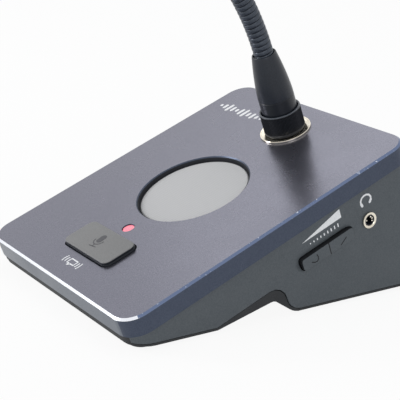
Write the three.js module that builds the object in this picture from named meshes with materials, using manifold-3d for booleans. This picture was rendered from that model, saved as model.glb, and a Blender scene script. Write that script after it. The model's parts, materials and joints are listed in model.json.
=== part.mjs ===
// Desk microphone console: a wedge-shaped base with a talk button, a monitor
// loudspeaker and a side volume key, and a gooseneck microphone on its deck.
// Millimetres, +Z up, front (the talker's side) towards -Y.

import * as THREE from 'three';
import { mergeVertices } from 'three/addons/utils/BufferGeometryUtils.js';
import Module from 'manifold-3d';

const wasm = await Module();
wasm.setup();

// ---- Driving dimensions ----------------------------------------------------

const GAP = 0.3; // clearance between neighbouring pieces

const TILT = THREE.MathUtils.degToRad(22); // slope of the deck, low at the front
const DECK_HEIGHT = 36.9; // middle of the deck above the desk
const FACE_WIDTH = 105; // flat of the deck inside its chamfer
const FACE_LENGTH = 131.3;
const FACE_CORNER = 8;
const CHAMFER = 0.8;
const DECK_SKIN = 2; // sheet and skirt thickness
const SKIRT_DEPTH = 7.8;

const WALL = 2.5; // housing wall
const HOUSING_WIDTH = 104.6;
const HOUSING_LENGTH = 132; // along the deck: the walls stand square to it
const HOUSING_CORNER = 7.8;
const FOOT_PROUD = 1.5; // desk to the underside of the bottom cover
const COVER_LIP = 1.25; // visible edge of the cover under the housing
const COVER_FLOOR = 2;

const SPEAKER_OPENING = 22.7; // radius
const BUTTON_SIZE = [32, 15, 3]; // width, length, corner radius
const BUTTON_AT = -44.2; // along the deck from its middle
const BUTTON_PROUD = 1.6;
const BUTTON_TRAVEL = 1;
const LED_AT = -31.2;
const LED_RADIUS = 2.2;

const NECK_AT = 47.7; // neck socket along the deck
const FLANGE_RADIUS = 10.5;
const RING_RADIUS = 8.45;
const RING_TOP = 10.3;
const BOOT_RADIUS = 7.25;
const BOOT_SHOULDER = 15.8;
const BOOT_TOP = 34.9;
const BOOT_MOUTH = 4.95; // radius of the boot's upper rim
const NECK_RADIUS = 4;
const NECK_BORE = 2.5; // runs through for the microphone lead
const SECTION_COUNT = 8;
const SECTION_LENGTH = 25;
const LOWER_BEND = { radius: 110, length: 28 }; // arc above the boot
const UPPER_BEND_RADIUS = 480; // gentler arc up to the head

const KEY_AT = [18.6, -21.4]; // volume key: along the deck, below the deck
const KEY_SIZE = [25, 4.8, 1.1]; // length, height, corner radius
const KEY_FACE = 53.25; // outer face, from the middle plane
const KEY_PIVOT = 48.9;
const JACK_AT = [39.6, -21.1];
const POWER_AT = [-18, -47.5]; // rear wall: across, below the deck
const LINK_AT = [14, -46.5];
const REAR_FACE = HOUSING_LENGTH / 2 - GAP; // outer end of the rear sockets

// ---- Solids ----------------------------------------------------------------

// A closed geometry as a solid that can be cut and joined.
function solid(geometry) {
  const bare = geometry.clone();
  bare.deleteAttribute('normal');
  bare.deleteAttribute('uv');
  const welded = mergeVertices(bare, 1e-4);
  return new wasm.Manifold(new wasm.Mesh({
    numProp: 3,
    vertProperties: Float32Array.from(welded.attributes.position.array),
    triVerts: Uint32Array.from(welded.index.array),
  }));
}

function geometryOf(shape) {
  const { vertProperties, triVerts } = shape.getMesh();
  const geometry = new THREE.BufferGeometry();
  geometry.setAttribute('position', new THREE.BufferAttribute(vertProperties, 3));
  geometry.setIndex(new THREE.BufferAttribute(triVerts, 1));
  geometry.computeVertexNormals();
  return geometry;
}

const union = (...shapes) => shapes.reduce((a, b) => a.add(b));
const cut = (shape, ...tools) => tools.reduce((a, b) => a.subtract(b), shape);

// ---- Outlines and prisms ---------------------------------------------------

function roundedRect(width, length, radius, x = 0, y = 0) {
  const a = width / 2 - radius;
  const b = length / 2 - radius;
  const shape = new THREE.Shape();
  shape.absarc(x + a, y + b, radius, 0, Math.PI / 2);
  shape.absarc(x - a, y + b, radius, Math.PI / 2, Math.PI);
  shape.absarc(x - a, y - b, radius, Math.PI, Math.PI * 1.5);
  shape.absarc(x + a, y - b, radius, Math.PI * 1.5, Math.PI * 2);
  return shape;
}

function circle(radius, x = 0, y = 0) {
  return new THREE.Shape().absarc(x, y, radius, 0, Math.PI * 2);
}

// Outline in X and Y, raised from z0 to z1.
function prism(shape, z0, z1, curveSegments = 3) {
  const options = { depth: z1 - z0, bevelEnabled: false, curveSegments };
  return new THREE.ExtrudeGeometry(shape, options).translate(0, 0, z0);
}

// Outline in Y and Z, run from x0 to x1.
const acrossX = new THREE.Matrix4().set(0, 0, 1, 0, 1, 0, 0, 0, 0, 1, 0, 0, 0, 0, 0, 1);
function across(shape, x0, x1, curveSegments = 3) {
  return prism(shape, x0, x1, curveSegments).applyMatrix4(acrossX);
}

// Outline in Z and X, run from y0 to y1.
const acrossY = new THREE.Matrix4().set(0, 1, 0, 0, 0, 0, 1, 0, 1, 0, 0, 0, 0, 0, 0, 1);
function along(shape, y0, y1, curveSegments = 6) {
  return prism(shape, y0, y1, curveSegments).applyMatrix4(acrossY);
}

function box(x0, x1, y0, y1, z0, z1) {
  const block = new THREE.BoxGeometry(x1 - x0, y1 - y0, z1 - z0);
  return block.translate((x0 + x1) / 2, (y0 + y1) / 2, (z0 + z1) / 2);
}

// Profile of [radius, height] points turned about Z.
function turned(profile, segments = 24) {
  const points = profile.map(([r, z]) => new THREE.Vector2(r, z));
  return new THREE.LatheGeometry(points, segments).rotateX(Math.PI / 2);
}

const rod = (radius, z0, z1, segments = 16) =>
  turned([[0, z0], [radius, z0], [radius, z1], [0, z1]], segments);

const collar = (inner, outer, z0, z1, segments = 28) =>
  turned([[inner, z0], [outer, z0], [outer, z1], [inner, z1], [inner, z0]], segments);

function polygon(points) {
  return new THREE.Shape(points.map(([x, y]) => new THREE.Vector2(x, y)));
}

// ---- Scene -----------------------------------------------------------------

const unit = new THREE.Group();
const deck = new THREE.Group(); // frame of the sloping deck: z is its normal
deck.position.z = DECK_HEIGHT;
deck.rotation.x = TILT;
unit.add(deck);
deck.updateMatrix();

const finishes = {
  deckPaint: { color: 0x6f7384, roughness: 0.45, metalness: 0.6 },
  shellPlastic: { color: 0x4b5154, roughness: 0.7, metalness: 0 },
  coverPlastic: { color: 0x2a2c2e, roughness: 0.75, metalness: 0 },
  blackPlastic: { color: 0x16191d, roughness: 0.5, metalness: 0 },
  blackRubber: { color: 0x17181a, roughness: 0.9, metalness: 0 },
  keyGrey: { color: 0x8b8a86, roughness: 0.7, metalness: 0 },
  clothGrey: { color: 0xb4b6b8, roughness: 0.95, metalness: 0 },
  ledPink: { color: 0xf28a96, roughness: 0.3, metalness: 0 },
  nickel: { color: 0xc9c3b4, roughness: 0.2, metalness: 1 },
  steel: { color: 0x9a9c9e, roughness: 0.35, metalness: 1 },
  neckMetal: { color: 0x1d222a, roughness: 0.4, metalness: 0.7 },
  ferrite: { color: 0x3a3a3c, roughness: 0.7, metalness: 0.2 },
  paper: { color: 0x232323, roughness: 0.95, metalness: 0 },
  board: { color: 0x1f5a38, roughness: 0.55, metalness: 0 },
  foam: { color: 0x1a1b1d, roughness: 1, metalness: 0 },
};

function add(parent, name, shape, finish) {
  const geometry = shape.isBufferGeometry ? shape : geometryOf(shape);
  const mesh = new THREE.Mesh(geometry, new THREE.MeshStandardMaterial(finishes[finish]));
  mesh.name = name;
  parent.add(mesh);
  return mesh;
}

// ---- Top plate: a shallow tray, chamfered edge, skirt all round ---------------

const outerWidth = FACE_WIDTH + 2 * CHAMFER;
const outerLength = FACE_LENGTH + 2 * CHAMFER;

function topPlate() {
  const outline = roundedRect(FACE_WIDTH, FACE_LENGTH, FACE_CORNER);
  const blank = new THREE.ExtrudeGeometry(outline, {
    depth: SKIRT_DEPTH,
    bevelThickness: CHAMFER,
    bevelSize: CHAMFER,
    bevelSegments: 1,
    curveSegments: 4,
  }).translate(0, 0, -SKIRT_DEPTH - CHAMFER);
  const pocket = prism(
    roundedRect(outerWidth - 2 * DECK_SKIN, outerLength - 2 * DECK_SKIN, FACE_CORNER - 1.2),
    -SKIRT_DEPTH - 3, -DECK_SKIN, 4);
  const [width, length, radius] = BUTTON_SIZE;
  const buttonHole = roundedRect(width + 0.8, length + 0.8, radius + 0.4, 0, BUTTON_AT);
  const holes = [
    solid(rod(SPEAKER_OPENING, -9, 1, 48)),
    solid(turned([[0, -0.5], [SPEAKER_OPENING, -0.5], [SPEAKER_OPENING + 1, 0.5], [0, 0.5]], 48)),
    solid(prism(buttonHole, -9, 1)),
    solid(rod(LED_RADIUS + GAP, -9, 1, 16).translate(0, LED_AT, 0)),
    solid(rod(8, -9, 1, 24).translate(0, NECK_AT, 0)),
  ];
  const body = cut(
    solid(blank),
    solid(box(-80, 80, -90, 90, -SKIRT_DEPTH - 5, -SKIRT_DEPTH)),
    solid(pocket),
    ...holes);
  const posts = BOARD_POSTS.map(([x, y]) => solid(rod(2.2, -7.7, -1.8, 10).translate(x, y, 0)));
  return union(body, ...posts);
}
const BOARD_POSTS = [[-22.5, -53], [22.5, -53], [-22.5, -32], [22.5, -32]];
add(deck, 'top_plate', topPlate(), 'deckPaint');

// ---- Housing: vertical walls under the skirt, a rim that locates the plate -----

const housingEdge = FOOT_PROUD + COVER_LIP; // underside of the walls
const housingTop = -SKIRT_DEPTH - GAP; // below the deck

const onDeck = (geometry) => geometry.applyMatrix4(deck.matrix);

// The column under the deck inside the walls' outline drawn in by inset,
// up to the deck height top, between the levels z0 and z1 above the desk.
function column(inset, top, z0, z1) {
  const outline = roundedRect(HOUSING_WIDTH - 2 * inset, HOUSING_LENGTH - 2 * inset,
    Math.max(HOUSING_CORNER - inset, 2));
  return solid(onDeck(prism(outline, -90, top)))
    .intersect(solid(box(-90, 90, -110, 120, z0, z1)));
}

// Passage under the base, seen from the side: a long ramp up, a short drop
// behind it. inset draws the outline in on every side.
function notch(inset) {
  const shape = new THREE.Shape();
  shape.moveTo(-29.9 + 2.6 * inset, 0);
  shape.lineTo(-0.6, 11.9 - 1.1 * inset);
  shape.quadraticCurveTo(3.6 - 0.4 * inset, 13.4 - 1.3 * inset, 6.9 - 0.9 * inset, 9.7 - 0.6 * inset);
  shape.lineTo(8.5 - inset, 6.3);
  shape.quadraticCurveTo(9.7 - inset, 3.4, 14 - 1.4 * inset, housingEdge);
  shape.lineTo(14 - 1.4 * inset, 0);
  return shape;
}

// The lower arch of the passage itself; raise lifts it by the roof's thickness.
function arch(raise) {
  const shape = new THREE.Shape();
  shape.moveTo(-29 - raise, -1);
  shape.lineTo(-22.6 - raise, FOOT_PROUD);
  shape.lineTo(0.4, 7.4 + raise);
  shape.quadraticCurveTo(2.2, 8 + raise, 3.8 + 0.4 * raise, 6.7 + raise);
  shape.lineTo(9.6 + raise, 2.9 + 0.5 * raise);
  shape.quadraticCurveTo(11 + raise, 1.9, 13.5 + raise, FOOT_PROUD);
  shape.lineTo(15 + raise, -1);
  return shape;
}

const FOOT_SPOTS = [[-44.5, -50.1], [44.5, -50.1], [-44.5, 73], [44.5, 73]];
const SCREW_SPOTS = [[-44.5, -39.5], [44.5, -39.5], [-44.5, 62], [44.5, 62]];
const SCREW_RADIUS = 1.25;

function housing() {
  const walls = column(0, housingTop, housingEdge, 90);
  const hollow = column(WALL, housingTop + 0.1, 0, 90);
  const rimOutset = DECK_SKIN + GAP;
  const rimOuter = roundedRect(outerWidth - 2 * rimOutset, outerLength - 2 * rimOutset, 6.5);
  const rimInner = roundedRect(
    outerWidth - 2 * rimOutset - 3, outerLength - 2 * rimOutset - 3, 5);
  const rim = solid(onDeck(prism(rimOuter, housingTop - 0.9, -3)));
  const mouth = solid(onDeck(prism(rimInner, housingTop, -1)));
  const shell = cut(union(walls, rim), hollow, mouth, solid(across(notch(0), -60, 60)));

  // Screw bosses, each tied to the side wall by a rib.
  const bosses = SCREW_SPOTS.map(([x, y]) => {
    const side = Math.sign(x);
    const rib = side > 0 ? box(x + 2, 50.5, y - 1, y + 1, 6, 14) : box(-50.5, x - 2, y - 1, y + 1, 6, 14);
    return cut(
      union(solid(rod(3.4, 6, 14, 12).translate(x, y, 0)), solid(rib)),
      solid(rod(SCREW_RADIUS + GAP, 5, 13, 10).translate(x, y, 0)));
  });

  // Volume key: an opening, two lugs for its pin, and a valley that slopes down
  // to the key above it and in front of it.
  const [v, w] = KEY_AT;
  const [length, height, radius] = KEY_SIZE;
  const slack = 0.9;
  const keyHole = roundedRect(length + slack, height + slack, radius + slack / 2, v, w);
  const slope = 2.2;
  const valley = new THREE.ExtrudeGeometry(
    roundedRect(length + slack - slope, height + slack - slope, 1.3,
      v - slope / 2, w + slope / 2),
    { depth: 5, bevelThickness: 1, bevelSize: slope, bevelSegments: 1, curveSegments: 3 },
  ).translate(0, 0, HOUSING_WIDTH / 2).applyMatrix4(acrossX);
  const lug = (side) => {
    const middle = w + side * (height / 2 + 2.2);
    const ear = solid(onDeck(box(47.2, 50.3, v - 2, v + 2, middle - 1.4, middle + 1.4)));
    return cut(ear, solid(onDeck(rod(1.2, w - 8, w + 8, 12).translate(KEY_PIVOT, v, 0))));
  };

  // Jack and rear socket openings.
  const jackHole = circle(3, JACK_AT[0], JACK_AT[1]);
  const powerHole = box(
    POWER_AT[0] - 4.9, POWER_AT[0] + 4.9, 60, 70, POWER_AT[1] - 6.5, POWER_AT[1] + 5.9);
  const linkHole = along(circle(6.8, LINK_AT[1], LINK_AT[0]), 60, 70, 8);

  return cut(
    union(shell, ...bosses, lug(1), lug(-1)),
    solid(onDeck(across(keyHole, 45, 60))),
    solid(onDeck(valley)),
    solid(onDeck(across(jackHole, 45, 60, 6))),
    solid(onDeck(powerHole)),
    solid(onDeck(linkHole)));
}
add(unit, 'housing', housing(), 'shellPlastic');

// ---- Bottom cover: floor, visible lip, arched passage --------------------------

function bottomCover() {
  const lip = column(GAP, 0, FOOT_PROUD, housingEdge - GAP);
  const floorTop = FOOT_PROUD + COVER_FLOOR;
  const floor = column(WALL + GAP + 0.1, 0, FOOT_PROUD, floorTop);
  const reach = HOUSING_WIDTH / 2 - GAP;
  const inner = reach - WALL - 1;
  const block = solid(across(notch(0.35), -reach, reach))
    .intersect(solid(box(-reach, reach, -40, 30, FOOT_PROUD, 30)));
  const overRoof = solid(box(-inner, inner, -40, 30, floorTop, 30))
    .subtract(solid(across(arch(1.8), -60, 60)));
  const bosses = SCREW_SPOTS.map(([x, y]) => solid(rod(4.2, FOOT_PROUD, 5.6, 14).translate(x, y, 0)));
  const posts = MAIN_BOARD_POSTS.map(([x, y]) => solid(rod(2.5, FOOT_PROUD, 7.7, 10).translate(x, y, 0)));
  const holes = SCREW_SPOTS.map(([x, y]) => union(
    solid(rod(SCREW_RADIUS + GAP, 0, 9, 10).translate(x, y, 0)),
    solid(rod(3.1, 0, 3.9, 14).translate(x, y, 0))));
  const recesses = FOOT_SPOTS.map(([x, y]) => solid(rod(4.6, 0, 2.1, 18).translate(x, y, 0)));
  return cut(
    union(cut(block, overRoof), lip, floor, ...bosses, ...posts),
    solid(across(arch(0), -60, 60)),
    ...holes, ...recesses);
}
const MAIN_BOARD_POSTS = [[-36, 27], [36, 27], [-36, 50], [36, 50]];
add(unit, 'bottom_cover', bottomCover(), 'coverPlastic');

FOOT_SPOTS.forEach(([x, y], i) => {
  const profile = [[0, 0], [3.9, 0], [4.3, 0.4], [4.3, 1.8], [0, 1.8]];
  add(unit, `foot_${i + 1}`, turned(profile, 18), 'blackRubber').position.set(x, y, 0);
});

SCREW_SPOTS.forEach(([x, y], i) => {
  const socket = solid(prism(polygon([[-1.6, -0.35], [1.6, -0.35], [1.6, 0.35], [-1.6, 0.35]]), 0, 2.6));
  const screw = cut(
    union(solid(rod(2.7, 1.8, 3.6, 12)), solid(rod(SCREW_RADIUS, 3.4, 12.4, 8))),
    socket, solid(prism(polygon([[-0.35, -1.6], [0.35, -1.6], [0.35, 1.6], [-0.35, 1.6]]), 0, 2.6)));
  add(unit, `cover_screw_${i + 1}`, screw, 'steel').position.set(x, y, 0);
});

// ---- Loudspeaker under the round opening ---------------------------------------

add(deck, 'grille_gasket', collar(21.9, 24.8, -2.8, -2.3, 40), 'blackRubber');
add(deck, 'grille_disc', rod(25, -3.9, -3.1, 40), 'clothGrey');
add(deck, 'speaker_frame', turned([
  [25.5, -4.2], [20.8, -4.2], [13, -13.1], [6, -13.1], [6, -13.9],
  [13.6, -13.9], [21.6, -5], [25.5, -5], [25.5, -4.2],
], 28), 'steel');
add(deck, 'speaker_cone', turned([
  [0, -11.6], [5.6, -11.6], [19.4, -5.1], [19.4, -4.5], [5.6, -10.4], [3, -9.2], [0, -8.8],
], 28), 'paper');
add(deck, 'speaker_magnet', rod(14.5, -21.5, -14.2, 24), 'ferrite');

// ---- Talk button: grey cap on a black carrier, held up by a switch plunger ------

function talkCarrier() {
  const [width, length, radius] = BUTTON_SIZE;
  const top = solid(prism(roundedRect(width, length, radius), -3.2, BUTTON_PROUD - 1));
  const flange = solid(prism(roundedRect(width + 3.5, length + 3.5, 4), -3.6, -2.4));
  return union(top, flange);
}
function talkCap() {
  const [width, length, radius] = BUTTON_SIZE;
  return prism(roundedRect(width - 0.6, length - 0.6, radius - 0.3), BUTTON_PROUD - 0.7, BUTTON_PROUD);
}
add(deck, 'talk_button_carrier', talkCarrier(), 'blackPlastic').position.y = BUTTON_AT;
add(deck, 'talk_button_cap', talkCap(), 'keyGrey').position.y = BUTTON_AT;
add(deck, 'talk_switch_plunger', rod(1.6, -5.4, -3.9, 12), 'keyGrey').position.y = BUTTON_AT;

const talkSwitch = cut(
  solid(prism(roundedRect(6, 6, 0.4), -7.7, -5)),
  solid(rod(2, -5.4 - BUTTON_TRAVEL - 0.4, 0, 12)));
add(deck, 'talk_switch', talkSwitch, 'blackPlastic').position.y = BUTTON_AT;

add(deck, 'control_board', prism(roundedRect(52, 27, 1, 0, -42.4), -9.6, -8, 2), 'board');

const led = turned([
  [0, -7.7], [2.6, -7.7], [2.6, -6.7], [LED_RADIUS, -6.7], [LED_RADIUS, -1.1], [1.3, -0.5], [0, -0.3],
], 16);
add(deck, 'status_led', led, 'ledPink').position.y = LED_AT;

// ---- Neck socket: flange, nut under the deck, lock ring, boot -------------------

const socket = new THREE.Group();
socket.position.y = NECK_AT;
deck.add(socket);

const BORE = 4.95;
add(socket, 'socket_flange', turned([
  [BORE, -10], [7.6, -10], [7.6, GAP], [FLANGE_RADIUS, GAP], [FLANGE_RADIUS, 0.8],
  [FLANGE_RADIUS - 0.3, 1], [BORE, 1], [BORE, -10],
], 32), 'nickel');

const hexagon = new THREE.Shape(Array.from({ length: 6 }, (_, i) =>
  new THREE.Vector2(11.4 * Math.cos((i * Math.PI) / 3), 11.4 * Math.sin((i * Math.PI) / 3))));
hexagon.holes.push(circle(7.9));
add(socket, 'socket_nut', prism(hexagon, -6, -2.4, 8), 'nickel');

add(socket, 'lock_washer', collar(BOOT_RADIUS + 0.35, RING_RADIUS - 0.15, 1.3, 1.7, 28), 'blackPlastic');
add(socket, 'lock_ring', collar(BOOT_RADIUS + 0.35, RING_RADIUS, 2, RING_TOP, 32), 'blackPlastic');

function bootProfile() {
  const taper = Array.from({ length: 5 }, (_, i) => {
    const t = i / 4;
    const radius = BOOT_RADIUS - (BOOT_RADIUS - BOOT_MOUTH) * t ** 1.6;
    return [radius, BOOT_SHOULDER + t * (BOOT_TOP - BOOT_SHOULDER)];
  });
  const mouth = NECK_RADIUS + 0.35;
  return [
    [BORE, 1.3], [BOOT_RADIUS, 1.3], ...taper,
    [mouth, BOOT_TOP], [mouth, 21], [BORE, 21], [BORE, 1.3],
  ];
}
add(socket, 'neck_boot', turned(bootProfile(), 28), 'blackRubber');
add(socket, 'neck_ferrule', collar(2.2, BORE - 0.35, -12, 20.6, 18), 'nickel');

// ---- Gooseneck ------------------------------------------------------------------

// Centre line in the middle plane of the deck frame: distance along the neck in,
// [forward, up, lean towards the front] out.
function neckPoint(s) {
  const lower = Math.min(s, LOWER_BEND.length);
  const lean = lower / LOWER_BEND.radius;
  const forward = LOWER_BEND.radius * (1 - Math.cos(lean));
  const up = LOWER_BEND.radius * Math.sin(lean);
  if (s <= LOWER_BEND.length) {
    return [forward, up, lean];
  }
  const end = lean + (s - LOWER_BEND.length) / UPPER_BEND_RADIUS;
  return [
    forward + UPPER_BEND_RADIUS * (Math.cos(lean) - Math.cos(end)),
    up + UPPER_BEND_RADIUS * (Math.sin(end) - Math.sin(lean)),
    end,
  ];
}

// A hollow section. Its ends are cones, so that neighbours can turn against each other.
function neckSection(length, lowerCone, upperCone) {
  const share = NECK_BORE / NECK_RADIUS;
  const low = GAP / 2;
  const high = length - GAP / 2;
  return turned([
    [NECK_BORE, low + share * lowerCone], [NECK_RADIUS, low + lowerCone],
    [NECK_RADIUS, high - upperCone], [NECK_BORE, high - share * upperCone],
    [NECK_BORE, low + share * lowerCone],
  ], 16);
}

const NECK_START = BOOT_TOP + 0.6;
const CONE = 1.15;
let tip = null;
for (let i = 0; i < SECTION_COUNT; i += 1) {
  const [f0, u0] = neckPoint(i * SECTION_LENGTH);
  const [f1, u1, lean] = neckPoint((i + 1) * SECTION_LENGTH);
  const length = Math.hypot(f1 - f0, u1 - u0);
  const last = i === SECTION_COUNT - 1;
  const shape = neckSection(length, i === 0 ? 2.2 : CONE, last ? 0 : CONE);
  const section = add(socket, `neck_section_${i + 1}`, shape, 'neckMetal');
  section.position.set(0, -f0, NECK_START + u0);
  section.rotation.x = Math.atan2(f1 - f0, u1 - u0);
  tip = { position: new THREE.Vector3(0, -f1, NECK_START + u1), lean };
}

// ---- Microphone head ---------------------------------------------------------------

const head = new THREE.Group();
head.position.copy(tip.position);
head.rotation.x = tip.lean;
socket.add(head);

const HEAD_RADIUS = 6.6;
add(head, 'head_collar', turned([
  [0, GAP], [4.9, GAP], [5.3, 2], [HEAD_RADIUS, 9], [HEAD_RADIUS, 12], [0, 12],
], 24), 'blackPlastic');
add(head, 'capsule_housing', turned([
  [0, 12.3], [HEAD_RADIUS, 12.3], [HEAD_RADIUS, 34], [5.5, 34], [5.5, 14.3], [0, 14.3],
], 24), 'neckMetal');
add(head, 'mic_capsule', rod(4.9, 26.5, 33, 20), 'steel');

function dome(radius, base, steps = 4) {
  return Array.from({ length: steps }, (_, i) => {
    const angle = (i * Math.PI) / 2 / steps;
    return [radius * Math.cos(angle), base + radius * Math.sin(angle)];
  });
}
add(head, 'head_grille', turned([
  [5.7, 34.3], [HEAD_RADIUS, 34.3], ...dome(HEAD_RADIUS, 40), [0, 40 + HEAD_RADIUS],
  [0, 39 + HEAD_RADIUS], ...dome(5.7, 40).reverse(), [5.7, 34.3],
], 20), 'steel');

const FOAM_RADIUS = 15;
const FOAM_TIP = 58.5;
const foamWaist = 36;
add(head, 'windscreen', turned([
  [7, 17], [10.5, 17], [12.4, 18.6], [14.2, 24], [FOAM_RADIUS, 31], [FOAM_RADIUS, foamWaist + 5],
  ...Array.from({ length: 6 }, (_, i) => {
    const angle = ((i + 1) * Math.PI) / 14;
    return [FOAM_RADIUS * Math.cos(angle), foamWaist + 5 + (FOAM_TIP - foamWaist - 5) * Math.sin(angle)];
  }),
  [0, FOAM_TIP], [0, 47.2], [7, 47.2], [7, 17],
], 28), 'foam');

// ---- Volume key and its switches ---------------------------------------------------

function volumeKey() {
  const [length, height, radius] = KEY_SIZE;
  const face = solid(across(roundedRect(length, height, radius), 50.2 - KEY_PIVOT, KEY_FACE - KEY_PIVOT));
  const hub = solid(box(-1.6, 1.5, -2.2, 2.2, -height / 2, height / 2));
  return cut(union(face, hub), solid(rod(1.15, -9, 9, 12)));
}
const [KEY_V, KEY_W] = KEY_AT;
add(deck, 'volume_key', volumeKey(), 'blackRubber').position.set(KEY_PIVOT, KEY_V, KEY_W);
add(deck, 'volume_key_pin', rod(0.85, -5.6, 5.6, 12), 'steel').position.set(KEY_PIVOT, KEY_V, KEY_W);

add(deck, 'side_board', across(roundedRect(31, 14, 1, KEY_V, KEY_W), 42.6, 44.2, 2), 'board');
['down', 'up'].forEach((name, i) => {
  const v = KEY_V + (i ? 9 : -9);
  const body = union(
    solid(across(roundedRect(4.5, 4.5, 0.4), 44.5, 47.5, 2)),
    solid(across(circle(1.2), 47.3, 49.2, 5)));
  add(deck, `volume_${name}_switch`, body, 'blackPlastic').position.set(0, v, KEY_W);
});

// ---- Headphone jack -------------------------------------------------------------------

const jackBore = solid(across(circle(1.8), 38, 60, 6));
const jackBody = cut(
  union(
    solid(across(roundedRect(8.4, 9, 0.6), 36, 49.3, 2)),
    solid(across(circle(2.45), 49, 52.9, 6))),
  jackBore);
add(deck, 'headphone_jack', jackBody, 'blackPlastic').position.set(0, JACK_AT[0], JACK_AT[1]);
const nutRing = circle(3.15);
nutRing.holes.push(circle(2.75));
add(deck, 'jack_nut', across(nutRing, 52.6, 53.2, 8), 'nickel').position.set(0, JACK_AT[0], JACK_AT[1]);

// ---- Main board and rear sockets --------------------------------------------------------

add(unit, 'main_board', prism(roundedRect(80, 34, 1, 0, 40), 8, 9.6, 2), 'board');

const [powerX, powerW] = POWER_AT;
const powerInlet = union(
  cut(
    solid(box(powerX - 4.5, powerX + 4.5, REAR_FACE - 13.2, REAR_FACE, powerW - 6.1, powerW + 5.5)),
    solid(along(circle(3.1, powerW, powerX), REAR_FACE - 9.2, 75))),
  solid(along(circle(1, powerW, powerX), REAR_FACE - 9.7, REAR_FACE - 0.7, 4)));
add(deck, 'power_inlet', powerInlet, 'blackPlastic');

const [linkX, linkW] = LINK_AT;
const linkSocket = union(
  solid(box(linkX - 6, linkX + 6, REAR_FACE - 14.2, REAR_FACE - 3.7, linkW - 7.1, linkW + 6)),
  cut(
    solid(along(circle(6.4, linkW, linkX), REAR_FACE - 4.2, REAR_FACE, 8)),
    cut(
      solid(along(circle(4.7, linkW, linkX), REAR_FACE - 2.2, 75, 7)),
      solid(along(circle(3.5, linkW, linkX), REAR_FACE - 3.2, 76, 6)))));
add(deck, 'link_socket', linkSocket, 'blackPlastic');

// ---- Origin: on the desk, under the middle of the whole model's box -------------------------

const bounds = new THREE.Box3().setFromObject(unit, true);
unit.position.y = -(bounds.min.y + bounds.max.y) / 2;

export default unit;
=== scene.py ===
# Gooseneck desk microphone console: a sloping metal deck with a talk button and a
# monitor loudspeaker, a grey plastic housing under it, and a flexible microphone
# neck near its back edge. Piece sizes are in millimetres until they are placed.
import json
import math

import bmesh
import bpy
from mathutils import Matrix, Vector, noise


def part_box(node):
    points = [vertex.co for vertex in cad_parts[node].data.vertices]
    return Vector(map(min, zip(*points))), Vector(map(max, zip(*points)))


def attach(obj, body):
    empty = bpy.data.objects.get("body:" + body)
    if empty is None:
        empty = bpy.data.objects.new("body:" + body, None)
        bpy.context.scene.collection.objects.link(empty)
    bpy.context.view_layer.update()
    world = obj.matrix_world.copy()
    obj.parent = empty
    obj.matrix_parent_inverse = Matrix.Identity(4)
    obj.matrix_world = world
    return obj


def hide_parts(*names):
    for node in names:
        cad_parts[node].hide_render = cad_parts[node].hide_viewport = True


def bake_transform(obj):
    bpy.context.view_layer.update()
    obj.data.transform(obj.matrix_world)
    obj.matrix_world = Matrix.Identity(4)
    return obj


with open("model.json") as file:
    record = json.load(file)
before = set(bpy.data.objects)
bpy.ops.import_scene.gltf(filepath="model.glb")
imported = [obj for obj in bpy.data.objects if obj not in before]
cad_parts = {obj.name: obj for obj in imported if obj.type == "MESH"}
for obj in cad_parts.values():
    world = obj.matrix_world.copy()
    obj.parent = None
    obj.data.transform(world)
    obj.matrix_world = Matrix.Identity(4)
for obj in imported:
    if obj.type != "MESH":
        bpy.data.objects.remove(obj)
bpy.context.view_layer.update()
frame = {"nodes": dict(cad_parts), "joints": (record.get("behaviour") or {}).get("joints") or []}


# ---- Camera: a long lens, a little above the desk, off the front right corner --------
# It is placed from the middle of the sloping deck. The neck turns on an axis square
# to the deck, NECK_UP millimetres up the slope from that middle.
NECK_UP = 47.7
SENSOR_WIDTH, FOCAL_LENGTH = 36, 111.6
CAMERA_FROM_MIDDLE = Vector((0.3797, -0.2591, 0.1406))
VIEW_AHEAD, VIEW_ABOVE = Vector((-0.784, 0.5424, -0.3018)), Vector((-0.2685, 0.1421, 0.9528))

turn = next(joint for joint in frame["joints"] if joint["name"] == "neck_turn")
normal = Vector(turn["axis"]).normalized()
uphill = normal.cross(Vector((1, 0, 0)))
centre = Vector(turn["pos_m"]) - uphill * (NECK_UP / 1000)

camera = bpy.data.objects.new("camera", bpy.data.cameras.new("camera"))
bpy.context.scene.collection.objects.link(camera)
camera.data.sensor_width = SENSOR_WIDTH
camera.data.lens = FOCAL_LENGTH
ahead = VIEW_AHEAD.normalized()
right = ahead.cross(VIEW_ABOVE).normalized()
above = right.cross(ahead)
camera.matrix_world = Matrix.Translation(centre + CAMERA_FROM_MIDDLE) @ Matrix(
    (right, above, -ahead)
).transposed().to_4x4()
bpy.context.scene.camera = camera
bpy.context.scene.view_settings.view_transform = "Standard"


# ---- Floor and lamps: a white table in a white room, four soft boxes round it ---------
# The table and the room look plain white behind the console and in its metal, but
# light it less than that. The table keeps a faint shadow.
TABLE_HALF, TABLE_DROP = 4, 0.0002
TABLE_SHADE, TABLE_GLARE = 0.94, 0.92
ROOM_STRENGTH = 0.54
WHITE = (1, 1, 1, 1)


def tone(red, green, blue):
    """A colour as a paint card shows it, 0 to 255, taken off the sRGB curve."""
    return tuple(
        c / 3294.6 if c <= 10 else ((c / 255 + 0.055) / 1.055) ** 2.4
        for c in (red, green, blue)
    ) + (1,)


def new_finish(name):
    """An empty finish: the material, its nodes, a call that wires sockets, its shader."""
    material = bpy.data.materials.new(name)
    material.use_nodes = True
    nodes = material.node_tree.nodes
    return material, nodes, material.node_tree.links.new, nodes["Principled BSDF"]


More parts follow.
